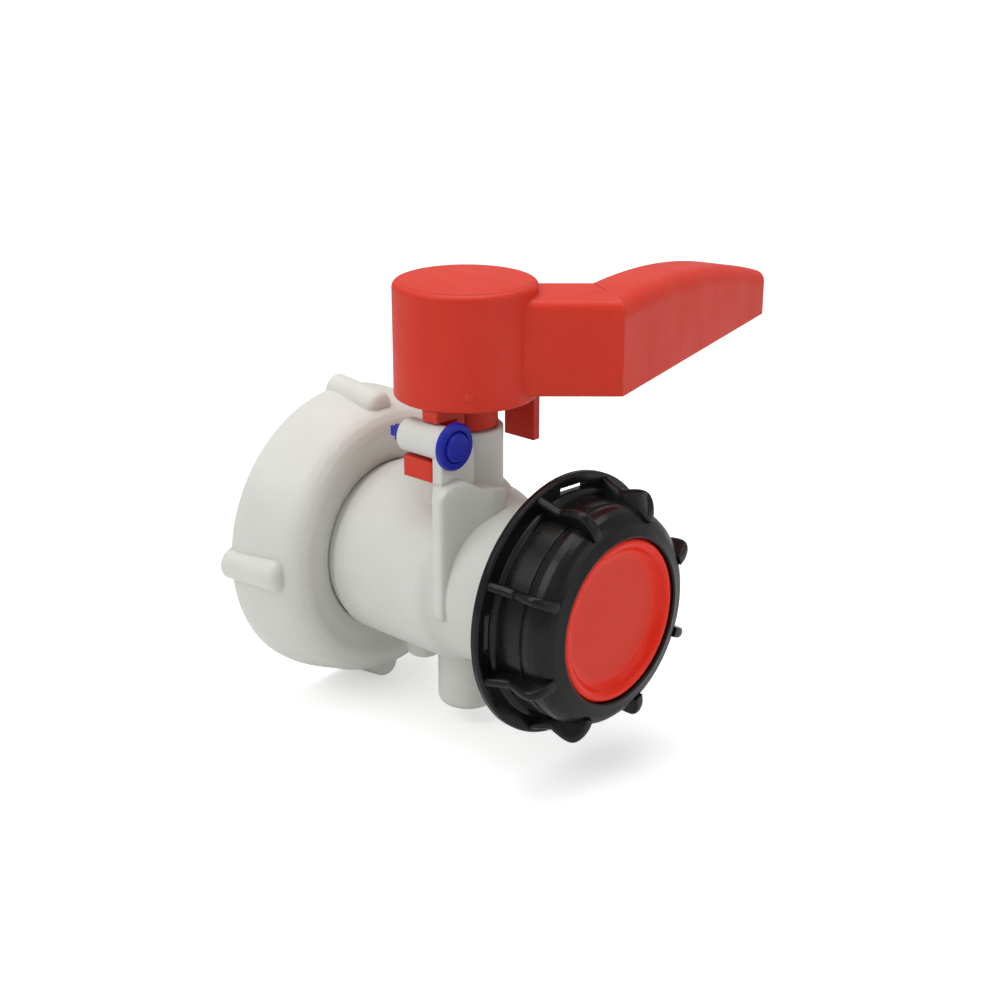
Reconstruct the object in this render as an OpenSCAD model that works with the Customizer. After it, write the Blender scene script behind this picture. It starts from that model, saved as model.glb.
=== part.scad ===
// Quarter-turn butterfly valve for a bulk liquid container.
// Millimetres, +Z up along the stem, flow runs along +X.
// The origin is the centre of the union nut's open mouth.

/* [Overall] */
// from the nut's open mouth to the stem axis
stem_x = 62.5; // [61:0.5:65]
// from the stem axis to the end of the outlet spigot
outlet_len = 60.5; // [59.5:0.5:63]
// flow bore radius
bore_r = 24.6; // [23.6:0.1:25]

/* [Valve body] */
// outside radius of the disc chamber
chamber_r = 31.2; // [30.8:0.1:31.6]
// chamber length on the inlet side of the stem
chamber_back = 34.2; // [33:0.2:34.4]
// chamber length on the outlet side of the stem
chamber_front = 5; // [4:0.5:6]
// neck radius behind the chamber
neck_r = 29.3; // [29:0.1:29.6]
// outlet pipe radius
outlet_r = 28.6; // [28.4:0.1:29]
// root radius of the spigot where the cap's thread runs
spigot_r = 27.4; // [27:0.1:27.8]
// stem tower radius
tower_r = 12.4; // [12:0.1:12.5]
// height of the tower above the chamber wall
tower_h = 20.4; // [19.8:0.2:21]
// lower stem boss radius
boss_r = 10.3; // [9.6:0.1:11]
// length of the lower stem boss under the chamber wall
boss_h = 18.8; // [18:0.2:20]
// radius of the small foot under the chamber
foot_r = 6.2; // [5:0.2:7]

/* [Lock] */
// radius of the tube that carries the lock pin
tube_r = 5.6; // [5.4:0.1:5.8]
// gap between the tower and the tube, where the lever's clip passes
tube_gap = 3.4; // [3.2:0.1:4.2]
// front end of the tube beyond the stem axis
tube_front = 13.4; // [12.8:0.2:14]
// length of the tube
tube_len = 18.8; // [18:0.2:19.4]
// thickness of the gusset plate that carries the tube
gusset_t = 4.2; // [4:0.1:4.6]
// lock pin shank radius
pin_r = 3; // [2.8:0.1:3.1]
// lock pin head radius
pin_head_r = 7.8; // [7:0.2:8]
// side of the square barbed tip
pin_tip = 4.6; // [4:0.1:4.6]

/* [Union nut] */
// wall thickness of the nut at its open mouth
nut_wall = 7; // [6.4:0.2:7.6]
// nut depth from the mouth to the front ridge
nut_depth = 28; // [27:0.2:29]
// outside radius of the rim band
nut_rim_r = 52.4; // [51:0.2:54]
// width of the rim band
nut_rim_w = 4.5; // [3.5:0.5:6]
// number of grip ribs around the nut
nut_ribs = 4; // [3:1:6]
// radius of each rounded grip rib
nut_rib_r = 5.8; // [5:0.1:6.2]

/* [Stem and disc] */
// stem journal radius in the tower
stem_r = 6.4; // [6.3:0.05:6.5]
// width across the flats of the square stem
stem_sq = 8.8; // [8.4:0.1:8.8]
// lower journal radius
trunnion_r = 4.2; // [3.8:0.1:4.3]
// half thickness of the disc at its rim
disc_t = 2.6; // [2.3:0.1:2.8]

/* [Handle] */
// hub radius
hub_r = 23.8; // [23.4:0.1:24.6]
// gap under the hub, from the tower top to the hub
hub_gap = 10.4; // [10:0.2:11.4]
// hub height
hub_h = 38.8; // [37.6:0.2:39.6]
// drop from the hub top to the arm top
arm_drop = 4.6; // [4:0.2:5]
// arm width next to the hub
arm_w = 27.6; // [26:0.2:28.6]
// direction of the arm measured from the flow axis
arm_dir = 42; // [41:0.5:42.5]
// distance from the stem axis to the elbow
elbow_len = 46; // [45:0.5:48]
// direction of the grip measured from the flow axis
grip_dir = 103.4; // [102:0.2:104]
// grip length from the elbow to the tip
grip_len = 119.6; // [117:0.2:122]
// grip width
grip_w = 21.6; // [20.6:0.2:22.6]
// radius of the crown along the top of the grip
crown_r = 380; // [340:20:460]
// wall thickness of the handle shell
shell_t = 2.8; // [2.4:0.1:3.2]
// drop of the lock clip below the tube
jaw_drop = 7.4; // [7:0.2:9.6]

/* [Outlet cap] */
// radius of the cap's rear flange
flange_r = 44; // [43:0.2:45]
// thickness of the rear flange
flange_t = 3; // [2.6:0.1:3.4]
// rear face of the cap from the stem axis
cap_back = 42.4; // [41.8:0.2:43]
// outside radius of the cap skirt
skirt_r = 36.6; // [36:0.1:37]
// radius of the opening in the cap's front
lip_r = 27.4; // [27:0.1:27.8]
// number of grip fins on the skirt
fins = 8; // [6:1:10]
// fin thickness
fin_t = 2.6; // [2.2:0.1:3]
// fin crest radius
fin_r = 41.4; // [40.6:0.2:42]

/* [Hidden] */
$fa = 4;
$fs = 0.5;
eps = 0.02;

// colours
white = [0.90, 0.90, 0.87];
natural = [0.86, 0.85, 0.80];
red = [0.82, 0.19, 0.13];
bright_red = [0.86, 0.17, 0.10];
black = [0.05, 0.05, 0.05];
blue = [0.06, 0.10, 0.55];
rubber = [0.09, 0.09, 0.09];
steel = [0.72, 0.73, 0.74];

// faces that several pieces share, measured along the flow from the stem axis
nut_mouth = -stem_x;
collar_back = nut_mouth + 15;
collar_front = nut_mouth + nut_depth - 5.2;
nut_ridge = nut_mouth + nut_depth;
seat_r = bore_r + 2;
nut_bore_r = nut_rim_r - nut_wall;
collar_r = nut_bore_r - 1.6;
// cap front stack, measured from the end of the spigot
gasket_x = outlet_len + 0.1;
gasket_t = 1.8;
disc_x = gasket_x + gasket_t + 0.1;
cap_front = disc_x + 5;
cap_bore_r = spigot_r + 5.4;
cap_disc_r = cap_bore_r - 0.4;
// heights that stack up from the chamber wall
tower_top = chamber_r + tower_h;
boss_depth = chamber_r + boss_h;
tube_y = tower_r + tube_gap + tube_r;
tube_z = tower_top + 0.4;
tube_back = tube_front - tube_len;
rib_y = outlet_r + 1.1;
clip_x0 = tube_back + 0.4;
clip_x1 = tube_front - gusset_t - 0.8;

hub_low = tower_top + hub_gap;
hub_top = hub_low + hub_h;
tab_low = tube_z - tube_r - jaw_drop;
arm_top = hub_top - arm_drop;
arm_low = hub_low + 3;
// packing in the tower, from the o-rings up, and the lower bush in the boss
packing_r = stem_r + 3.6;
packing_low = tower_top - 12;
washer_t = 3;
bush_low = boss_depth - 4.8;
bush_top = bore_r + 0.8;

// local frame: stem axis at x = 0
module at_stem() { translate([stem_x, 0, 0]) children(); }
// revolve a profile given as (distance along flow, radius) about the flow axis
module about_flow() { rotate([0, 90, 0]) rotate([0, 0, 135]) rotate_extrude() children(); }
// cylinder along the flow from x0 to x1
module along(x0, x1, r) { translate([x0, 0, 0]) rotate([0, 90, 0]) cylinder(r = r, h = x1 - x0); }
// ring along the flow
module ring(x0, x1, r0, r1) {
    difference() {
        along(x0, x1, r1);
        along(x0 - 1, x1 + 1, r0);
    }
}
// upright ring about the stem axis
module tube(z0, z1, r0, r1) {
    translate([0, 0, z0]) difference() {
        cylinder(r = r1, h = z1 - z0);
        translate([0, 0, -1]) cylinder(r = r0, h = z1 - z0 + 2);
    }
}
// 2-D outline with one corner replaced by a quarter circle
module round_corner(x, y, r, sx, sy) {
    // x, y is the corner; sx, sy point from the corner into the solid
    translate([x, y]) difference() {
        translate([sx > 0 ? -1 : -r, sy > 0 ? -1 : -r]) square([r + 1, r + 1]);
        translate([sx * r, sy * r]) circle(r = r);
    }
}

// ---------------------------------------------------------------- body
module valve_body() {
    color(white) at_stem() difference() {
        union() {
            // neck, chamber and outlet pipe in one turned outline
            about_flow() difference() {
                polygon([[0, collar_back], [neck_r, collar_back],
                         [neck_r, -chamber_back - 4.6], [neck_r + 0.5, -chamber_back - 2.8],
                         [neck_r + 0.6, -chamber_back - 0.6], [chamber_r - 0.6, -chamber_back],
                         [chamber_r, -chamber_back + 0.9],
                         [chamber_r, chamber_front], [chamber_r - 0.3, chamber_front + 1.8],
                         [chamber_r - 0.8, chamber_front + 3.4], [outlet_r + 0.9, chamber_front + 5.4],
                         [outlet_r + 0.3, chamber_front + 7.6], [outlet_r, chamber_front + 10],
                         [outlet_r, cap_back - 2.4], [spigot_r, cap_back - 0.6],
                         [spigot_r, outlet_len - 1], [spigot_r - 1, outlet_len],
                         [0, outlet_len]]);
            }
            // tower with a soft foot
            rotate_extrude() polygon([[0, 20], [tower_r + 4.2, 20], [tower_r + 4.2, chamber_r - 5.4],
                                      [tower_r + 2.6, chamber_r - 2.2], [tower_r + 1.3, chamber_r - 0.7],
                                      [tower_r + 0.4, chamber_r + 0.2], [tower_r, chamber_r + 1.4],
                                      [tower_r, tower_top - 0.5], [tower_r - 0.5, tower_top], [0, tower_top]]);
            // lower boss with a rounded end
            rotate_extrude() difference() {
                translate([0, -boss_depth]) square([boss_r, boss_depth]);
                round_corner(boss_r, -boss_depth, 3.2, -1, 1);
            }
            // small foot behind the boss
            translate([-chamber_back + foot_r + 6.8, 0, 0]) rotate_extrude() difference() {
                translate([0, -chamber_r - 7.4]) square([foot_r, chamber_r]);
                round_corner(foot_r, -chamber_r - 7.4, 2.4, -1, 1);
            }
            // lock tube and the gusset plate that ties it to the tower and runs down the drum
            translate([tube_back, -tube_y, tube_z]) rotate([0, 90, 0]) cylinder(r = tube_r, h = tube_len);
            translate([tube_front - gusset_t, -tube_y - 4, chamber_r - 6])
                cube([gusset_t, tube_y - tower_r + 6, tower_top - chamber_r + 3.4]);
            intersection() {
                translate([tube_front, 0, -6]) linear_extrude(height = 50) gusset_plan();
                rotate([90, 0, 90]) linear_extrude(height = 40) polygon([[-4, -5.6], [-rib_y - 1, -5.6], [-rib_y - 1, 35],
                    [-rib_y + 3, 39], [2 - tube_y, 40.4], [-13, 36.4], [-4, 35]]);
            }
        }
        // flow bore, with a wider inlet side for the seat and its sleeve
        along(-80, 80, bore_r);
        along(-80, 10.2, seat_r);
        // stem bore, packing bore and tower counterbore
        cylinder(r = stem_r + 1, h = tower_top + 10);
        translate([0, 0, packing_low]) cylinder(r = packing_r, h = tower_top);
        translate([0, 0, tower_top - 0.6]) cylinder(r1 = packing_r, r2 = packing_r + 0.6, h = 0.62);
        translate([0, 0, -bush_low - 0.2]) cylinder(r = trunnion_r + 2.4, h = bush_low);
        // pin bore
        translate([-20, -tube_y, tube_z]) rotate([0, 90, 0]) cylinder(r = pin_r + 0.4, h = 60);
    }
}

// plan of the gusset: soft outer edge, wide root at the tower
module gusset_plan() {
    polygon([[-gusset_t, -4], [-gusset_t, -tube_y - 3], [-1.6, 1.4 - rib_y], [-0.8, 0.4 - rib_y], [0.4, -rib_y],
             [2.4, -rib_y], [3.4, 0.5 - rib_y], [3.8, 1.6 - rib_y], [4.2, 8 - rib_y], [5.2, 12 - rib_y],
             [6.4, 16 - rib_y], [8, 20 - rib_y], [8, -4]]);
}

module collar_ring() {
    color(white) at_stem() difference() {
        about_flow() difference() {
            translate([neck_r + 0.05, collar_back]) square([collar_r - neck_r - 0.05, collar_front - collar_back]);
            translate([collar_r - 1.2, collar_front - 1.2]) rotate(45) translate([0.85, -2]) square([3, 4]);
        }
    }
}

module inlet_gasket() {
    color(rubber) at_stem() about_flow() difference() {
        translate([seat_r, collar_back - 2.6]) square([collar_r - seat_r - 0.4, 2.5]);
        for (r = [seat_r + 3.2 : 4.2 : collar_r - 2]) translate([r - 0.6, collar_back - 3]) square([1.2, 0.9]);
    }
}

module inlet_sleeve() {
    color(natural) at_stem() about_flow()
        translate([bore_r + 0.1, collar_back]) square([1.8, -collar_back - 10.1]);
}

module seat_ring() {
    color(natural) at_stem() difference() {
        ring(-10, 10, bore_r + 0.1, seat_r - 0.1);
        translate([0, 0, -40]) cylinder(r = stem_r + 1, h = 80);
    }
}

// ---------------------------------------------------------------- nut
module union_nut() {
    color(white) at_stem() difference() {
        union() {
            about_flow() difference() {
                polygon([[0, nut_mouth], [nut_rim_r - 1, nut_mouth], [nut_rim_r, nut_mouth + 1],
                         [nut_rim_r, nut_mouth + nut_rim_w], [nut_rim_r - 0.3, nut_mouth + nut_rim_w + 2.6],
                         [nut_rim_r - 1, nut_mouth + nut_rim_w + 6.2],
                         [nut_rim_r - 3.2, nut_ridge - 7.4], [nut_rim_r - 3.2 - 0.8, nut_ridge - 4.9],
                         [nut_rim_r - 3.2 - 2.2, nut_ridge - 2.6], [nut_rim_r - 3.2 - 4.2, nut_ridge - 0.9],
                         [nut_rim_r - 3.2 - 6.6, nut_ridge], [nut_rim_r - 3.2 - 8.4, nut_ridge - 0.1],
                         [nut_rim_r - 3.2 - 12, nut_ridge - 1.4], [neck_r + 2.6, nut_ridge - 2.2],
                         [0, nut_ridge - 2.2]]);
            }
            for (k = [0 : nut_ribs - 1]) rotate([k * 360 / nut_ribs, 0, 0])
                translate([nut_mouth, 0, nut_rim_r - 1.9]) rotate([0, 90 + 6, 0]) rotate_extrude() difference() {
                    translate([0, -3]) square([nut_rib_r, 26]);
                    round_corner(nut_rib_r, 23, 3.4, -1, -1);
                }
        }
        // mouth plane
        translate([nut_mouth - 20, -80, -80]) cube([20, 160, 160]);
        // thread bore, clearance over the collar, and the hole around the neck
        along(nut_mouth - 1, collar_back - 2.7, nut_bore_r);
        along(nut_mouth - 1, collar_front + 0.4, nut_bore_r - 1);
        along(nut_mouth - 1, 0, neck_r + 1);
    }
}

// ---------------------------------------------------------------- disc and stem
module disc() {
    color(natural) at_stem() difference() {
        union() {
            about_flow() polygon([[0, -disc_t - 1.8], [4, -disc_t - 1.8], [9, -disc_t - 1.4], [bore_r - 2.4, -disc_t],
                                  [bore_r - 1.7, -disc_t + 0.6], [bore_r - 1.7, disc_t - 0.6],
                                  [bore_r - 2.4, disc_t], [9, disc_t + 1.4], [4, disc_t + 1.8], [0, disc_t + 1.8]]);
            translate([0, 0, -bore_r + 2.4]) cylinder(r = 8.4, h = 2 * bore_r - 4.8);
        }
        translate([-stem_sq / 2 - 0.1, -stem_sq / 2 - 0.1, -40]) cube([stem_sq + 0.2, stem_sq + 0.2, 80]);
        // groove for the rim seal
        ring(-1.7, 1.7, bore_r - 3.4, bore_r + 2);
        for (s = [-1, 1]) translate([0, 0, s * 12]) along(-12, 12, 1.6);
    }
}

module disc_seal() {
    color(rubber) at_stem() difference() {
        about_flow() polygon([[bore_r - 3.3, -1.6], [bore_r - 1.4, -1.6], [bore_r - 0.6, -1], [bore_r - 0.2, 0],
                              [bore_r - 0.6, 1], [bore_r - 1.4, 1.6], [bore_r - 3.3, 1.6]]);
        translate([0, 0, -40]) cylinder(r = 8.6, h = 80);
    }
}

module disc_pins() {
    color(steel) at_stem() for (s = [-1, 1]) translate([0, 0, s * 12]) along(-8, 8, 1.5);
}

module stem() {
    color(natural) at_stem() difference() {
        union() {
            translate([0, 0, 0.6 - bush_low]) cylinder(r = trunnion_r, h = bush_low - 10);
            translate([-stem_sq / 2, -stem_sq / 2, -bore_r + 1.8]) cube([stem_sq, stem_sq, 2 * bore_r - 3.6]);
            translate([0, 0, bore_r - 1.8]) cylinder(r = stem_r, h = tower_top + 0.2 - bore_r + 1.8);
            translate([-stem_sq / 2, -stem_sq / 2, tower_top]) cube([stem_sq, stem_sq, arm_top - 5 - tower_top]);
        }
        for (z = [27, 31]) tube(z - 1.2, z + 1.2, stem_r - 1.3, stem_r + 2);
        tube(arm_top - 8.6, arm_top - 7, stem_sq / 2 - 0.8, stem_sq);
        for (s = [-1, 1]) translate([0, 0, s * 12]) along(-12, 12, 1.6);
    }
}

module stem_orings() {
    color(rubber) at_stem() for (z = [27, 31]) translate([0, 0, z])
        rotate_extrude() translate([stem_r - 0.2, 0]) circle(r = 1);
}

module upper_bush() {
    color(black) at_stem() tube(packing_low + 0.1, tower_top - washer_t - 0.2, stem_r + 0.3, packing_r - 0.1);
}

module thrust_washer() {
    color(steel) at_stem() tube(tower_top - washer_t - 0.1, tower_top - 0.1, stem_r + 0.3, packing_r - 0.1);
}

module lower_bush() {
    color(black) at_stem() tube(-bush_low, -bush_top, trunnion_r + 0.3, trunnion_r + 2.3);
}

// ---------------------------------------------------------------- handle
// cross-section of the lever: sharp lower edges, rounded upper edges
module lever_section(w, h, ra, rb) {
    difference() {
        translate([-w / 2, 0]) square([w, h]);
        round_corner(-w / 2, h, ra, 1, -1);
        round_corner(w / 2, h, rb, -1, -1);
    }
}
module along_dir(a) { rotate([0, 0, a]) children(); }
// straight length of the section: its left side in travel direction has radius ra
module lever_run(x0, x1, w, h, ra, rb) {
    translate([x0, 0, arm_low]) rotate([90, 0, 90]) linear_extrude(height = x1 - x0)
        mirror([1, 0]) lever_section(w, h, rb, ra);
}

elbow = [elbow_len * cos(arm_dir), elbow_len * sin(arm_dir)];
crown_s = 10;
crown_up = 0.2;
lever_h = arm_top - arm_low;

// plan outline of the grip, drawn from the stem axis
module grip_plan(inset) {
    translate(elbow) rotate(grip_dir) difference() {
        translate([-30, -grip_w / 2 + inset]) square([30 + grip_len - inset, grip_w - 2 * inset]);
        round_corner(grip_len - inset, -grip_w / 2 + inset, 6.5 - inset, -1, 1);
        round_corner(grip_len - inset, grip_w / 2 - inset, 8 - inset, -1, -1);
    }
}
// line through the elbow's outer and inner corners
elbow_turn = grip_dir - arm_dir;
// outer and inner corner of the elbow in the arm's own frame
oc = [(grip_w / 2 - arm_w / 2 * cos(elbow_turn)) / sin(elbow_turn), -arm_w / 2];
ic = [(arm_w / 2 * cos(elbow_turn) - grip_w / 2) / sin(elbow_turn), arm_w / 2];
mitre = atan2(ic[1] - oc[1], ic[0] - oc[0]);
module mitre_side(s) {
    // half plane on the hub side (s = -1) or the tip side (s = 1) of the elbow's corner line
    translate(elbow) rotate(arm_dir) translate(oc) rotate(mitre)
        translate([-150, s > 0 ? -300 : 0]) square([300, 300]);
}

module lever_outer() {
    // hub with a rounded top edge and a slight crown
    rotate_extrude() difference() {
        polygon([[0, hub_low], [hub_r, hub_low], [hub_r, hub_top - 0.9], [hub_r - 3, hub_top - 0.45],
                 [hub_r - 8, hub_top - 0.2], [hub_r - 15, hub_top], [0, hub_top]]);
        round_corner(hub_r, hub_top - 0.7, 2, -1, -1);
        round_corner(hub_r, hub_low, 0.8, -1, 1);
    }
    // arm, cut along the elbow's corner line
    intersection() {
        along_dir(arm_dir) lever_run(12, elbow_len + 40, arm_w, lever_h, 3.4, 2.4);
        linear_extrude(height = 200) mitre_side(-1);
    }
    // tongue that ties the arm to the grip inside the elbow
    translate([elbow[0], elbow[1], arm_low + 2]) cylinder(r = grip_w / 2 - 2, h = lever_h - 9);
    // grip, crowned down toward the tip
    intersection() {
        translate([elbow[0], elbow[1], 0]) along_dir(grip_dir) translate([crown_s, 0, arm_low])
            grip_crown(grip_w, lever_h);
        linear_extrude(height = 200) intersection() {
            grip_plan(0);
            mitre_side(1);
        }
        translate([-200, -200, arm_low]) cube([400, 400, 100]);
    }
}
// section swept along the crown's arc, highest at its own origin
module grip_crown(w, h) {
    translate([0, 0, h + crown_up - crown_r]) rotate([90, 0, 0]) rotate([0, 0, 90 - 18]) rotate_extrude(angle = 24, $fn = 360)
        translate([crown_r - h - 60, 0]) rotate(-90) lever_section(w, h + 60, 6.4, 2.6);
}

function crown_z(s) = arm_top + crown_up - crown_r + sqrt(crown_r * crown_r - (s - crown_s) * (s - crown_s));
cells = 6;
cell_pitch = (grip_len - 14) / cells;

module handle_lever() {
    color(red) at_stem() difference() {
        union() {
            difference() {
                lever_outer();
                // hollow hub
                translate([0, 0, hub_low - 1]) cylinder(r = hub_r - shell_t, h = hub_top - hub_low - 3.2);
                // hollow arm, in two cells
                along_dir(arm_dir) for (c = [0, 1])
                    translate([hub_r + 1.2 + c * 11.6, -arm_w / 2 + shell_t, arm_low - 1])
                        cube([10, arm_w / 2 - shell_t - 1, lever_h - 3.6 + 1]);
                along_dir(arm_dir) for (c = [0, 1])
                    translate([hub_r + 1.2 + c * 11.6, 1, arm_low - 1])
                        cube([10, arm_w / 2 - shell_t - 1, lever_h - 3.6 + 1]);
                // hollow grip, in cells that follow the crown
                translate([elbow[0], elbow[1], 0]) along_dir(grip_dir) for (c = [0 : cells - 1], s = [0, 1])
                    translate([6 + c * cell_pitch, s == 0 ? -grip_w / 2 + shell_t : 0.9, arm_low - 1])
                        cube([cell_pitch - 1.8, grip_w / 2 - shell_t - 0.9,
                              crown_z(6 + (c + 1) * cell_pitch) - arm_low - (s == 0 ? 5.2 : 3.2) + 1]);
            }
            // socket and its spokes inside the hub
            translate([0, 0, hub_low + 1.5]) cylinder(r = 13.4, h = hub_top - hub_low - 4);
            for (k = [0 : 5]) rotate([0, 0, k * 60 + 12]) translate([12, -1, hub_low + 3])
                cube([hub_r - 13.4, 2, hub_top - hub_low - 6]);
            // flat tab on the far side
            translate([0.4, 18.6, hub_low - 18]) cube([13, 3, 22]);
        }
        // socket bore, closed at the top
        translate([0, 0, hub_low - 20]) cylinder(r = 10.9, h = arm_top - 3 - hub_low + 20);
    }
}

// C-shaped clip under the hub that takes the lock tube: stub above it, web behind it, jaw below it
module lock_clip() {
    color(red) at_stem() {
        intersection() {
            tube(tab_low, hub_low + 1.5, tower_r + 0.4, tube_y - tube_r - 0.4);
            translate([clip_x0, -30, 0]) cube([clip_x1 - clip_x0, 30, 100]);
        }
        translate([clip_x1 - 6.4, -tube_y - 1, tube_z + tube_r + 0.6])
            cube([6.4, 10, hub_low - tube_z - tube_r - 0.6]);
        translate([clip_x0, -tube_y - 3.4, tab_low]) linear_extrude(height = jaw_drop - 0.6) difference() {
            square([clip_x1 - clip_x0, tube_y + 3 - tower_r]);
            round_corner(0, 0, 1, 1, 1);
            round_corner(clip_x1 - clip_x0, 0, 1, -1, 1);
        }
    }
}

module drive_sleeve() {
    color(red) at_stem() difference() {
        union() {
            translate([0, 0, tower_top + 0.4]) cylinder(r = 10.6, h = arm_top - 9 - tower_top - 0.4);
        }
        translate([-stem_sq / 2 - 0.1, -stem_sq / 2 - 0.1, tower_top - 1]) cube([stem_sq + 0.2, stem_sq + 0.2, 60]);
        translate([0, 0, tower_top]) cylinder(r = stem_r + 0.2, h = 0.7);
    }
}

module stem_clip() {
    color(steel) at_stem() difference() {
        tube(arm_top - 8.4, arm_top - 7.2, stem_sq / 2 - 0.7, stem_sq / 2 + 3.4);
        translate([0, -1.6, 0]) cube([20, 3.2, 120]);
    }
}

// ---------------------------------------------------------------- lock pin
module lock_pin() {
    color(blue) at_stem() translate([0, -tube_y, tube_z]) difference() {
        union() {
            along(tube_back - 1.2, tube_front + 1, pin_r);
            // head: a flange, a groove and a raised button
            translate([tube_front + 0.4, 0, 0]) rotate([0, 90, 0]) rotate([0, 0, 180]) rotate_extrude()
                polygon([[0, 0], [pin_head_r - 0.5, 0], [pin_head_r, 0.5], [pin_head_r, 1.9], [pin_head_r - 0.6, 2.5],
                         [pin_head_r - 2.3, 2.5], [pin_head_r - 2.7, 1.5], [pin_head_r - 3.1, 2.9],
                         [pin_head_r - 3.7, 3.4], [0, 3.4]]);
            // square barb that narrows to its point
            translate([tube_back - 4.2, 0, 0]) rotate([0, 90, 0]) linear_extrude(height = 3.4) square(pin_tip, center = true);
            translate([tube_back - 6.8, 0, 0]) rotate([0, 90, 0]) linear_extrude(height = 2.8) square(pin_tip - 1.4, center = true);
        }
        // slit that lets the barb spring in
        translate([tube_back - 8, -0.5, -5]) cube([9.4, 1, 10]);
    }
}

// ---------------------------------------------------------------- cap
module outlet_cap() {
    color(black) at_stem() difference() {
        union() {
            // flange, skirt, front ring and thread bore in one turned outline
            about_flow()
                polygon([[cap_bore_r + 1.2, cap_back], [flange_r - 0.6, cap_back], [flange_r, cap_back + 0.6],
                         [flange_r, cap_back + flange_t - 0.6], [flange_r - 0.6, cap_back + flange_t],
                         [skirt_r + 0.8, cap_back + flange_t], [skirt_r, cap_back + flange_t + 1.4],
                         [skirt_r - 0.5, cap_front - 11.6], [skirt_r - 1.2, cap_front - 11.4],
                         [skirt_r - 1.2, cap_front - 10.8], [skirt_r - 0.4, cap_front - 10.4],
                         [skirt_r - 0.2, cap_front - 8], [skirt_r - 0.6, cap_front - 5.6],
                         [skirt_r - 1.5, cap_front - 3.7], [skirt_r - 2.9, cap_front - 2.2],
                         [skirt_r - 4.6, cap_front - 1.1], [lip_r + 1.6, cap_front - 0.3],
                         [lip_r + 0.7, cap_front], [lip_r + 0.3, cap_front], [lip_r, cap_front - 0.3],
                         [lip_r, cap_front - 2.6], [cap_bore_r, cap_front - 2.6],
                         [cap_bore_r, cap_back + 2.8], [cap_bore_r + 1.2, cap_back + 1.6]]);
            // grip fins from the flange to the front ring
            for (k = [0 : fins - 1]) rotate([k * 360 / fins + 20, 0, 0]) cap_fin();
        }
        // slots through the flange between the fins
        for (k = [0 : 3]) rotate([k * 90 - 2.5, 0, 0])
            translate([cap_back - 1, -6.6, skirt_r + 1.5]) cube([flange_t + 2, 13.2, 2.4]);
    }
}
module cap_fin() {
    // outline in the plane of the flow axis: x along the flow, y = radius
    rotate([90, 0, 0]) translate([0, 0, -fin_t / 2]) linear_extrude(height = fin_t) difference() {
        polygon([[cap_back + 1, cap_bore_r + 1], [cap_back + 1, fin_r + 1.2], [cap_back + flange_t + 2, fin_r + 0.2],
                 [cap_back + flange_t + 8, fin_r - 1.4], [cap_front - 12, fin_r - 1],
                 [cap_front - 7.4, fin_r], [cap_front - 4.4, fin_r], [cap_front - 3.4, cap_bore_r + 1]]);
        round_corner(cap_front - 3.9, fin_r, 3, -1, -1);
    }
}

module cap_disc() {
    color(bright_red) at_stem() about_flow() {
        // captive flange, raised ring and dished middle
        polygon([[0, disc_x], [cap_disc_r, disc_x], [cap_disc_r, disc_x + 2.1], [lip_r - 0.4, disc_x + 2.1],
                 [lip_r - 0.4, cap_front - 1.6], [lip_r - 0.8, cap_front - 0.9], [lip_r - 1.6, cap_front - 0.6],
                 [lip_r - 2.6, cap_front - 0.8], [lip_r - 3.4, cap_front - 1.5], [lip_r - 5.2, disc_x + 2.2],
                 [lip_r - 7, disc_x + 1.9], [14, disc_x + 1.9], [9, disc_x + 2.1], [0, disc_x + 2.1]]);
    }
}

module cap_gasket() {
    color(white) at_stem() ring(gasket_x, gasket_x + gasket_t, bore_r + 0.1, spigot_r);
}

valve_body();
union_nut();
collar_ring();
inlet_gasket();
inlet_sleeve();
seat_ring();
disc();
disc_seal();
disc_pins();
stem();
stem_orings();
upper_bush();
thrust_washer();
lower_bush();
handle_lever();
lock_clip();
drive_sleeve();
stem_clip();
lock_pin();
outlet_cap();
cap_disc();
cap_gasket();
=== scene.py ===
from math import cos, pi, radians, sin, tau

import bmesh
import bpy
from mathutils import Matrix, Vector


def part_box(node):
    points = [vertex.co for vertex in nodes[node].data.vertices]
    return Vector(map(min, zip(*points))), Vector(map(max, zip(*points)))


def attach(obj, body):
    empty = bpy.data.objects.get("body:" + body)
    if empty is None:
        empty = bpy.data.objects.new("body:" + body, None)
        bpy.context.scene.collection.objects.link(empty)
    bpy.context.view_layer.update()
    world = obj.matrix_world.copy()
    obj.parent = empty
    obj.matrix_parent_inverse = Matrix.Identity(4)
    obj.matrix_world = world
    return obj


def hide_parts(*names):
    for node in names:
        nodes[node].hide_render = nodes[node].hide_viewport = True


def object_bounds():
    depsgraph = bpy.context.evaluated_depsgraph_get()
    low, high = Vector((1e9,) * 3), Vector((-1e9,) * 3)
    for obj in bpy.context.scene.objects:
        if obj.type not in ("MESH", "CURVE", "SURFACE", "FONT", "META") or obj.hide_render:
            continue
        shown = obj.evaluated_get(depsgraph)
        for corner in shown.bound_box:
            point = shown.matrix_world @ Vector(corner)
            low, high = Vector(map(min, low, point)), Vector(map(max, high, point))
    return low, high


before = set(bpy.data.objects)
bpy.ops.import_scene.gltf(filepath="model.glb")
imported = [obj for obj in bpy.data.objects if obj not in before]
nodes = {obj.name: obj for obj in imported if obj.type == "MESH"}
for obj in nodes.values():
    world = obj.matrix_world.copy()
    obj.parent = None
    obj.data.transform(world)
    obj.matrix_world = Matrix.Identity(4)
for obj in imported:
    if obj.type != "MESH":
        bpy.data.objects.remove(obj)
cad_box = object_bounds()


# ------------------------------------------------------------------ sizes, all in metres
def span(node):
    """Lowest and highest corner of a CAD node."""
    low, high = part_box(node)
    return Vector(low), Vector(high)


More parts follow.
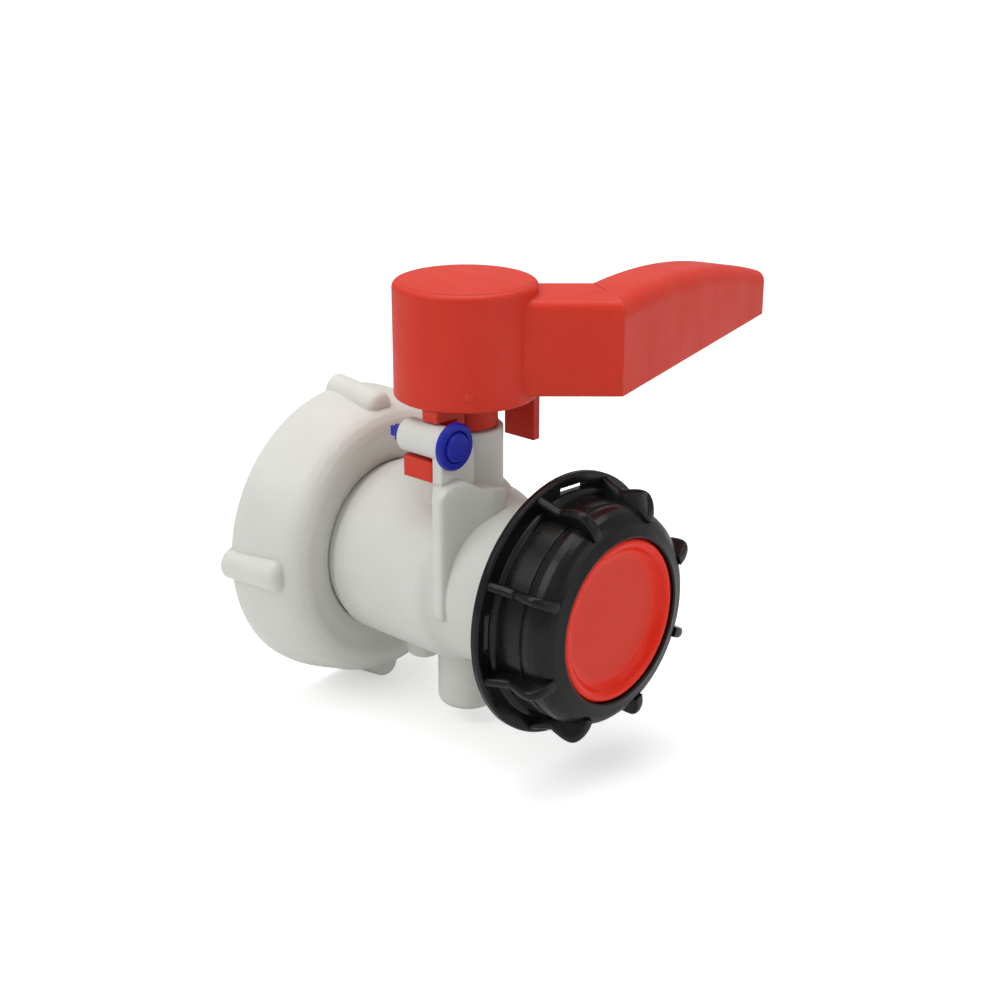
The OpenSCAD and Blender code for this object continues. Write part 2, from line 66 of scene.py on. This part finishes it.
stem_low, stem_high = span("stem")
stem_x = (stem_low.x + stem_high.x) / 2
mouth = span("union_nut")[0].x
spigot_end = span("valve_body")[1].x
cap_low, cap_high = span("outlet_cap")
cap_rear, cap_front = cap_low.x, cap_high.x
flange_edge = cap_high.z
disc_low, disc_high = span("cap_disc")
lever_low = span("handle_lever")[0]


# ------------------------------------------------------------------ shader helpers
def shader(name):
    """A new material, its node tree and its Principled shader."""
    m = bpy.data.materials.new(name)
    m.use_nodes = True
    t = m.node_tree
    return m, t, t.nodes["Principled BSDF"]


def feed(tree, socket, value):
    """Give an input a constant, or link another node's output to it."""
    if isinstance(value, bpy.types.NodeSocket):
        tree.links.new(value, socket)
    else:
        socket.default_value = value


def object_point(tree):
    """The shaded point in the piece's own frame, so that patterns stay with the piece when it moves."""
    return tree.nodes.new("ShaderNodeTexCoord").outputs["Object"]


def noise(tree, point, scale, detail=3.0, rough=0.55, stretch=None):
    """Noise with scale in cells per metre. stretch squeezes the pattern along each axis."""
    n = tree.nodes.new("ShaderNodeTexNoise")
    n.inputs["Scale"].default_value = scale
    n.inputs["Detail"].default_value = detail
    n.inputs["Roughness"].default_value = rough
    if stretch:
        mapping = tree.nodes.new("ShaderNodeMapping")
        mapping.inputs["Scale"].default_value = stretch
        tree.links.new(point, mapping.inputs["Vector"])
        point = mapping.outputs["Vector"]
    tree.links.new(point, n.inputs["Vector"])
    return n.outputs["Fac"]


def ramp(tree, value, stops):
    """Colours along a value, as (place, colour) stops."""
    r = tree.nodes.new("ShaderNodeValToRGB")
    tree.links.new(value, r.inputs["Fac"])
    elements = r.color_ramp.elements
    while len(elements) < len(stops):
        elements.new(0.5)
    for element, (place, colour) in zip(elements, stops):
        element.position = place
        element.color = colour
    return r.outputs["Color"]


def spread(tree, value, low, high, out_low, out_high):
    """Map a value from one range to another, clamped at both ends."""
    m = tree.nodes.new("ShaderNodeMapRange")
    tree.links.new(value, m.inputs["Value"])
    for key, number in (("From Min", low), ("From Max", high), ("To Min", out_low), ("To Max", out_high)):
        m.inputs[key].default_value = number
    return m.outputs["Result"]


def blend(tree, factor, a, b):
    """Mix two colours."""
    m = tree.nodes.new("ShaderNodeMix")
    m.data_type = "RGBA"
    feed(tree, m.inputs["Factor"], factor)
    feed(tree, m.inputs[6], a)
    feed(tree, m.inputs[7], b)
    return m.outputs[2]


def multiply(tree, a, b):
    m = tree.nodes.new("ShaderNodeMath")
    m.operation = "MULTIPLY"
    feed(tree, m.inputs[0], a)
    feed(tree, m.inputs[1], b)
    return m.outputs[0]


def vector_length(tree, vector):
    n = tree.nodes.new("ShaderNodeVectorMath")
    n.operation = "LENGTH"
    tree.links.new(vector, n.inputs[0])
    return n.outputs["Value"]


def soft_edges(tree, radius):
    """A normal that rounds the edges off over that radius."""
    b = tree.nodes.new("ShaderNodeBevel")
    b.samples = 6
    b.inputs["Radius"].default_value = radius
    return b.outputs["Normal"]


def bump(tree, height, distance, strength, normal):
    b = tree.nodes.new("ShaderNodeBump")
    b.inputs["Distance"].default_value = distance
    b.inputs["Strength"].default_value = strength
    tree.links.new(height, b.inputs["Height"])
    tree.links.new(normal, b.inputs["Normal"])
    return b.outputs["Normal"]


def edge_mask(tree, radius):
    """A mask of the edges: there the rounded normal leaves the true one."""
    flat = tree.nodes.new("ShaderNodeNewGeometry").outputs["True Normal"]
    turn = tree.nodes.new("ShaderNodeVectorMath")
    turn.operation = "DOT_PRODUCT"
    tree.links.new(soft_edges(tree, radius), turn.inputs[0])
    tree.links.new(flat, turn.inputs[1])
    return spread(tree, turn.outputs["Value"], 0.985, 0.86, 0.0, 1.0)


def rgba(r, g, b):
    return (r, g, b, 1.0)


# ------------------------------------------------------------------ materials
def moulded(name, base, dark, light, rough, uneven=0.065, gloss=0.5, edge=0.0005, grain=0.00003, edge_colour=None,
            sub=0.0, sub_radius=(1, 1, 1), flow=(1, 1, 1), flow_amount=0.2):
    """Moulded plastic: cloudy colour with flow marks, a fine pebble in the surface, a lighter colour in patches
    along the outer edges.
    """
    m, t, p = shader(name)
    where = object_point(t)
    cloud = noise(t, where, 38, 4, 0.6, flow)
    pebble = noise(t, where, 420, 3, 0.6)
    streak = noise(t, where, 150, 5, 0.7, (flow[0] * 3, flow[1] * 3, flow[2] * 0.4))
    colour = ramp(t, cloud, [(0.25, dark), (0.5, base), (0.78, light)])
    colour = blend(t, spread(t, streak, 0.60, 0.90, 0.0, flow_amount), colour, light)
    # a lighter colour, laid in patches along the rounded outer edges
    if edge_colour:
        patches = spread(t, noise(t, where, 190, 4), 0.42, 0.62, 0.0, 0.55)
        colour = blend(t, multiply(t, edge_mask(t, edge * 1.4), patches), colour, edge_colour)
    t.links.new(colour, p.inputs["Base Color"])
    sheen = spread(t, noise(t, where, 90, 4, 0.65, flow), 0.3, 0.7, rough - uneven, rough + uneven)
    t.links.new(sheen, p.inputs["Roughness"])
    normal = soft_edges(t, edge)
    normal = bump(t, cloud, 0.0004, 0.25, normal)
    normal = bump(t, pebble, grain, 0.6, normal)
    t.links.new(normal, p.inputs["Normal"])
    p.inputs["Subsurface Weight"].default_value = sub
    p.inputs["Subsurface Radius"].default_value = sub_radius
    p.inputs["Subsurface Scale"].default_value = 0.006
    p.inputs["Specular IOR Level"].default_value = gloss
    p.inputs["IOR"].default_value = 1.5
    return m


hdpe = moulded(
    "hdpe_natural_white", rgba(0.70, 0.705, 0.66), rgba(0.67, 0.675, 0.63), rgba(0.73, 0.735, 0.70),
    rough=0.42, gloss=0.4, edge=0.0018, sub=0.35, sub_radius=(1.0, 0.95, 0.8))
bush_white = moulded(
    "bush_white", rgba(0.76, 0.75, 0.70), rgba(0.72, 0.71, 0.66), rgba(0.80, 0.79, 0.75),
    rough=0.36, edge=0.0003, sub=0.2)
bush_black = moulded(
    "bush_black", rgba(0.012, 0.012, 0.012), rgba(0.008, 0.008, 0.008), rgba(0.02, 0.02, 0.02),
    rough=0.40, edge=0.0003)
lever_red = moulded(
    "lever_red", rgba(0.67, 0.028, 0.008), rgba(0.64, 0.024, 0.006), rgba(0.71, 0.038, 0.013),
    rough=0.50, gloss=0.36, edge=0.0007, grain=0.00004, edge_colour=rgba(0.74, 0.13, 0.08),
    flow=(1, 1, 0.6), flow_amount=0.15)
disc_red = moulded(
    "cap_disc_red", rgba(0.84, 0.026, 0.008), rgba(0.81, 0.022, 0.006), rgba(0.87, 0.034, 0.012),
    rough=0.24, gloss=0.20, edge=0.0004, grain=0.000015, flow_amount=0.1)
cap_black = moulded(
    "cap_black", rgba(0.0055, 0.0058, 0.0056), rgba(0.004, 0.004, 0.004), rgba(0.009, 0.009, 0.009),
    rough=0.24, uneven=0.10, gloss=0.26, edge=0.0008, grain=0.00006, edge_colour=rgba(0.035, 0.035, 0.036),
    flow=(0.3, 1, 1))
pin_blue = moulded(
    "pin_blue", rgba(0.006, 0.014, 0.36), rgba(0.005, 0.011, 0.32), rgba(0.012, 0.024, 0.44),
    rough=0.38, gloss=0.34, edge=0.0004, edge_colour=rgba(0.07, 0.11, 0.55))
rubber = moulded(
    "seal_rubber", rgba(0.018, 0.018, 0.018), rgba(0.012, 0.012, 0.012), rgba(0.03, 0.03, 0.03),
    rough=0.62, edge=0.0002, grain=0.00008)


def brushed_steel():
    m, t, p = shader("spring_steel")
    lines = noise(t, object_point(t), 900, 4, 0.7, (1, 1, 0.05))
    colour = ramp(t, lines, [(0.3, rgba(0.52, 0.53, 0.54)), (0.7, rgba(0.68, 0.69, 0.70))])
    t.links.new(colour, p.inputs["Base Color"])
    t.links.new(spread(t, lines, 0.3, 0.7, 0.24, 0.38), p.inputs["Roughness"])
    t.links.new(bump(t, lines, 0.00002, 0.5, soft_edges(t, 0.0002)), p.inputs["Normal"])
    p.inputs["Metallic"].default_value = 1.0
    return m


steel = brushed_steel()

finish = {
    "valve_body": hdpe, "union_nut": hdpe, "collar_ring": hdpe,
    "inlet_gasket": rubber, "disc_seal": rubber, "stem_orings": rubber, "cap_gasket": rubber,
    "inlet_sleeve": bush_white, "seat_ring": bush_white, "disc": bush_white, "stem": bush_white,
    "thrust_washer": bush_white, "upper_bush": bush_black, "lower_bush": bush_black,
    "disc_pins": steel, "stem_clip": steel,
    "handle_lever": lever_red, "lock_clip": lever_red, "drive_sleeve": lever_red, "lock_pin": pin_blue,
    "outlet_cap": cap_black, "cap_disc": disc_red,
}
for name, o in nodes.items():
    o.data.materials.clear()
    o.data.materials.append(finish[name])


# ------------------------------------------------------------------ shape helpers
def about_flow(radius, angle, x):
    """Point at that distance from the flow axis, turned from straight up towards the lock side."""
    return Vector((x, -radius * sin(angle), radius * cos(angle)))


def wall_radius(node, x, outer):
    """Largest or smallest distance from the flow axis among a node's points close to the plane at x."""
    near = 0.0016
    radii = [Vector((0, v.co.y, v.co.z)).length for v in nodes[node].data.vertices if abs(v.co.x - x) < near]
    return max(radii) if outer else min(radii)


def skin(bm, rings, closed=False):
    """Faces between neighbouring rings of points, with the ends covered unless the last ring meets the first."""
    following = rings[1:] + rings[:1] if closed else rings[1:]
    for p, q in zip(rings, following):
        for i in range(len(p)):
            j = (i + 1) % len(p)
            bm.faces.new((p[i], p[j], q[j], q[i]))
    if not closed:
        bm.faces.new(rings[0])
        bm.faces.new(tuple(reversed(rings[-1])))


def make_piece(name, bm, material, body, soften=0.0, sharp=40):
    """Turns a bmesh into a smooth-shaded piece that rides on a body."""
    bmesh.ops.recalc_face_normals(bm, faces=bm.faces)
    mesh = bpy.data.meshes.new(name)
    bm.to_mesh(mesh)
    bm.free()
    for f in mesh.polygons:
        f.use_smooth = True
    mesh.set_sharp_from_angle(angle=radians(sharp))
    o = bpy.data.objects.new(name, mesh)
    bpy.context.scene.collection.objects.link(o)
    o.data.materials.append(material)
    if soften:
        b = o.modifiers.new("soften", "BEVEL")
        b.width, b.segments, b.limit_method, b.angle_limit = soften, 2, "ANGLE", radians(40)
    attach(o, body)
    return o


def turned(name, outline, material, body, steps=144):
    """A closed outline of (x, radius) turned about the flow axis."""
    bm = bmesh.new()
    rings = [[bm.verts.new(about_flow(r, tau * k / steps, x)) for x, r in outline] for k in range(steps)]
    skin(bm, rings, closed=True)
    return make_piece(name, bm, material, body, sharp=60)


def smooth_path(points, per=6):
    """Points on a Catmull-Rom curve through (x, radius) points."""
    out = []
    ends = [points[0]] + list(points) + [points[-1]]
    for i in range(1, len(ends) - 2):
        a, b, c, d = (Vector(p) for p in ends[i - 1:i + 3])
        for k in range(per):
            t = k / per
            out.append(0.5 * (2 * b + (c - a) * t + (2 * a - 5 * b + 4 * c - d) * t * t
                              + (3 * b - a - 3 * c + d) * t ** 3))
    out.append(Vector(points[-1]))
    return out


# ------------------------------------------------------------------ screw threads
thread_pitch = 0.006


def thread(name, start, end, root, depth, crest, phase, material, body):
    """A helical ridge about the flow axis. depth is signed: outward from a spigot, inward from a bore."""
    per_turn = 72
    run_out = per_turn / 5
    flank = thread_pitch * 0.36
    foot = root - depth * 0.06
    count = int(per_turn * abs(end - start) / thread_pitch)
    bm = bmesh.new()
    rings = []
    for k in range(count + 1):
        a = phase + tau * k / per_turn
        x = start + (end - start) * k / count
        fade = min(1.0, k / run_out, (count - k) / run_out)
        top = root + depth * max(fade, 0.02)
        profile = ((-flank, foot), (-crest / 2, top), (crest / 2, top), (flank, foot))
        width = 0.4 + 0.6 * fade
        rings.append([bm.verts.new((x + dx * width, r * sin(a), r * cos(a))) for dx, r in profile])
    skin(bm, rings)
    return make_piece(name, bm, material, body, soften=0.0003, sharp=50)


thread("nut_thread", start=mouth + 0.0030, end=mouth + 0.0100, root=wall_radius("union_nut", mouth, False),
       depth=-0.0015, crest=0.0012, phase=0.4, material=hdpe, body="nut")
thread("spigot_thread", start=cap_rear + 0.0025, end=spigot_end - 0.0030,
       root=wall_radius("valve_body", spigot_end, True),
       depth=0.0018, crest=0.0014, phase=0.0, material=hdpe, body="body")
thread("cap_thread", start=cap_rear + 0.0030, end=spigot_end - 0.0025,
       root=wall_radius("outlet_cap", cap_rear, False),
       depth=-0.0016, crest=0.0014, phase=2.2, material=cap_black, body="cap")

# ------------------------------------------------------------------ cap fins
fin_count, fin_first = 8, radians(20)
fin_top, fin_foot, fin_half = 0.0414, 0.0330, 0.00172
# the crest's line over the skirt, from the flange forward to the lip
fin_line = smooth_path([
    (cap_rear + 0.0024, fin_top + 0.0018), (cap_rear + 0.0052, fin_top + 0.0008),
    (cap_rear + 0.0105, fin_top - 0.0008), (cap_front - 0.0125, fin_top - 0.0004),
    (cap_front - 0.0080, fin_top + 0.0006), (cap_front - 0.0048, fin_top + 0.0004),
    (cap_front - 0.0026, fin_top - 0.0014), (cap_front - 0.0012, fin_top - 0.0044),
    (cap_front - 0.0007, fin_top - 0.0084)])


def fin_bar(k):
    """A rounded crest over one grip fin, which runs on over the front ring to the lip."""
    angle = fin_first + tau * k / fin_count
    side = Vector((0, -cos(angle), -sin(angle)))
    arc_steps = 8
    bm = bmesh.new()
    rings = []
    for p in fin_line:
        ring = [about_flow(fin_foot, angle, p.x) - side * fin_half]
        for s in range(arc_steps + 1):
            a = pi * s / arc_steps
            reach = max(p.y - fin_half + fin_half * sin(a), fin_foot)
            ring.append(about_flow(reach, angle, p.x) - side * fin_half * cos(a))
        ring.append(about_flow(fin_foot, angle, p.x) + side * fin_half)
        rings.append([bm.verts.new(v) for v in ring])
    skin(bm, rings)
    return make_piece("fin_bar_%d" % (k + 1), bm, cap_black, "cap", soften=0.0005)


for k in range(fin_count):
    fin_bar(k)

# ------------------------------------------------------------------ cap disc
disc_back, disc_top, disc_edge = disc_low.x, disc_high.x, disc_high.z
disc_rim = wall_radius("outlet_cap", cap_front, False) - 0.0004
rear_flange = 0.0021
axis_gap = 0.00002
# over the raised ring and down into the hollow: (depth below the ring's top, distance in from the rim)
ring_and_hollow = [
    (0.0010, 0.0000), (0.0004, 0.0003), (0.0001, 0.0008), (0.0000, 0.0015), (0.0002, 0.0023), (0.0007, 0.0029),
    (0.0016, 0.0035), (0.0024, 0.0042), (0.0030, 0.0052), (0.0033, 0.0064), (0.0034, 0.0080)]
# the floor rises a little towards the axis: (depth below the ring's top, distance from the axis)
disc_floor = [(0.0033, 0.0120), (0.0031, 0.0060), (0.0031, axis_gap)]
disc_face = turned(
    "cap_disc_face",
    [(disc_back, axis_gap), (disc_back, disc_edge),
     (disc_back + rear_flange, disc_edge), (disc_back + rear_flange, disc_rim)]
    + [(disc_top - depth, disc_rim - inward) for depth, inward in ring_and_hollow]
    + [(disc_top - depth, radius) for depth, radius in disc_floor],
    disc_red, "cap_travel")
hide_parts("cap_disc")


def matt_floor(material, radius, fade):
    """Makes the disc's flat floor paler and duller than the smooth hollow around it."""
    t = material.node_tree
    p = t.nodes["Principled BSDF"]
    across = t.nodes.new("ShaderNodeVectorMath")
    across.operation = "MULTIPLY"
    across.inputs[1].default_value = (0, 1, 1)
    t.links.new(object_point(t), across.inputs[0])
    inside = spread(t, vector_length(t, across.outputs[0]), radius, radius - fade, 0.0, 1.0)
    colour = p.inputs["Base Color"].links[0].from_socket
    paler = blend(t, multiply(t, inside, 0.65), colour, rgba(0.66, 0.056, 0.034))
    t.links.new(paler, p.inputs["Base Color"])
    t.links.new(spread(t, inside, 0, 1, 0.16, 0.45), p.inputs["Roughness"])


matt_floor(disc_red, radius=disc_rim - 0.0050, fade=0.0030)

# ------------------------------------------------------------------ cap flange
# rounded bead round the flange's edge
bead_x, bead_radius = cap_rear + 0.0019, flange_edge - 0.0011
turned("flange_bead", [(bead_x + 0.0011 * cos(a), bead_radius + 0.0010 * sin(a))
                       for a in (tau * k / 14 for k in range(14))], cap_black, "cap")
# step ring where the skirt meets the flange
step_rear, step_front, step_inner = cap_rear + 0.0024, cap_rear + 0.0052, 0.0350
turned("skirt_step", [(step_rear, 0.0370), (step_rear, 0.0386), (cap_rear + 0.0040, 0.0386),
                      (cap_rear + 0.0046, 0.0380), (step_front, 0.0362), (step_front, step_inner),
                      (step_rear, step_inner)], cap_black, "cap")

# ------------------------------------------------------------------ gate mark on the lever's hub
# the hub reaches furthest away from the arm, and its rim's lowest points give its underside
hub_radius = stem_x - lever_low.x
hub_bottom = min(v.co.z for v in nodes["handle_lever"].data.vertices
                 if abs(Vector((v.co.x - stem_x, v.co.y)).length - hub_radius) < 0.0004)
mark_turn, mark_height, mark_sides = radians(-44), 0.0054, 20
# rings of (radius, distance out from the hub's wall)
mark_rings = ((0.0015, -0.0004), (0.0015, 0.00010), (0.0012, 0.00028), (0.0008, 0.00022), (0.0003, 0.00034))


def gate_mark():
    """The small round scar that the moulding gate leaves low on the hub."""
    outward = Vector((cos(mark_turn), sin(mark_turn), 0))
    across = Vector((-sin(mark_turn), cos(mark_turn), 0))
    upward = Vector((0, 0, 1))
    bm = bmesh.new()
    rings = []
    for r, out in mark_rings:
        centre = Vector((stem_x, 0, hub_bottom + mark_height)) + outward * (hub_radius + out)
        angles = [tau * k / mark_sides for k in range(mark_sides)]
        rings.append([bm.verts.new(centre + across * r * cos(a) + upward * r * sin(a)) for a in angles])
    skin(bm, rings)
    return make_piece("gate_mark", bm, lever_red, "handle")


gate_mark()


# ------------------------------------------------------------------ floor
def make_floor():
    """A wide pale floor that runs on past the frame."""
    under_part = 0.0002
    centre = (Vector(cad_box[0]) + Vector(cad_box[1])) / 2
    bm = bmesh.new()
    bmesh.ops.create_grid(bm, x_segments=24, y_segments=24, size=12.0)
    for v in bm.verts:
        v.co += Vector((centre.x, centre.y, cad_box[0][2] - under_part))
    mesh = bpy.data.meshes.new("studio_floor")
    bm.to_mesh(mesh)
    bm.free()
    o = bpy.data.objects.new("studio_floor", mesh)
    bpy.context.scene.collection.objects.link(o)
    m, t, p = shader("floor_white")
    p.inputs["Base Color"].default_value = rgba(0.92, 0.92, 0.92)
    p.inputs["Roughness"].default_value = 0.9
    p.inputs["Specular IOR Level"].default_value = 0.1
    # seen straight from the camera the floor is lifted to white, less near the object, where its shadow stays
    seen = t.nodes.new("ShaderNodeLightPath").outputs["Is Camera Ray"]
    lift = spread(t, vector_length(t, object_point(t)), 0.4, 2.0, 0.44, 0.64)
    p.inputs["Emission Color"].default_value = rgba(1, 1, 1)
    t.links.new(multiply(t, seen, lift), p.inputs["Emission Strength"])
    o.data.materials.append(m)


make_floor()

# ------------------------------------------------------------------ camera
azimuth, elevation = radians(46.5), radians(22.4)
distance, lens = 0.600, 63.2
back = Vector((cos(azimuth) * cos(elevation), -sin(azimuth) * cos(elevation), sin(elevation)))
right = Vector((sin(azimuth), cos(azimuth), 0))
up = right.cross(-back).normalized()
pivot = Vector((stem_x, 0, 0))
# the view is aimed a little above and beside the crossing of the stem and the flow
aim = pivot + right * 0.0114 + up * 0.0229

data = bpy.data.cameras.new("camera")
data.lens, data.sensor_width = lens, 36.0
data.clip_start, data.clip_end = 0.01, 40
camera = bpy.data.objects.new("camera", data)
camera.rotation_mode = "QUATERNION"
camera.location = pivot + back * distance
camera.rotation_quaternion = (aim - camera.location).to_track_quat("-Z", "Y")
bpy.context.scene.collection.objects.link(camera)
bpy.context.scene.camera = camera


# ------------------------------------------------------------------ lights
def soft_box(name, place, size, power):
    """A square soft light that points at the pivot."""
    lamp = bpy.data.lights.new(name, "AREA")
    lamp.shape, lamp.size, lamp.size_y = "RECTANGLE", size, size
    lamp.energy = power
    o = bpy.data.objects.new(name, lamp)
    o.location = place
    o.rotation_mode = "QUATERNION"
    o.rotation_quaternion = (pivot - place).to_track_quat("-Z", "Y")
    bpy.context.scene.collection.objects.link(o)


soft_box("key", pivot + back * 0.5 - right * 0.85 + Vector((0, 0, 0.75)), size=0.7, power=4.5)
soft_box("fill", pivot + back * 0.55 + right * 0.95 + Vector((0, 0, 0.25)), size=0.8, power=1.5)
soft_box("top", pivot + Vector((0, 0, 1.0)) - back * 0.15, size=0.9, power=5.4)

world = bpy.data.worlds.new("studio")
bpy.context.scene.world = world
world.use_nodes = True
background = world.node_tree.nodes["Background"]
background.inputs["Color"].default_value = rgba(1, 1, 1)
# the room lights the object softly and evenly, and the camera sees it as plain white
camera_ray = world.node_tree.nodes.new("ShaderNodeLightPath").outputs["Is Camera Ray"]
world.node_tree.links.new(spread(world.node_tree, camera_ray, 0, 1, 0.46, 1.0), background.inputs["Strength"])

bpy.context.scene.view_settings.view_transform = "Standard"
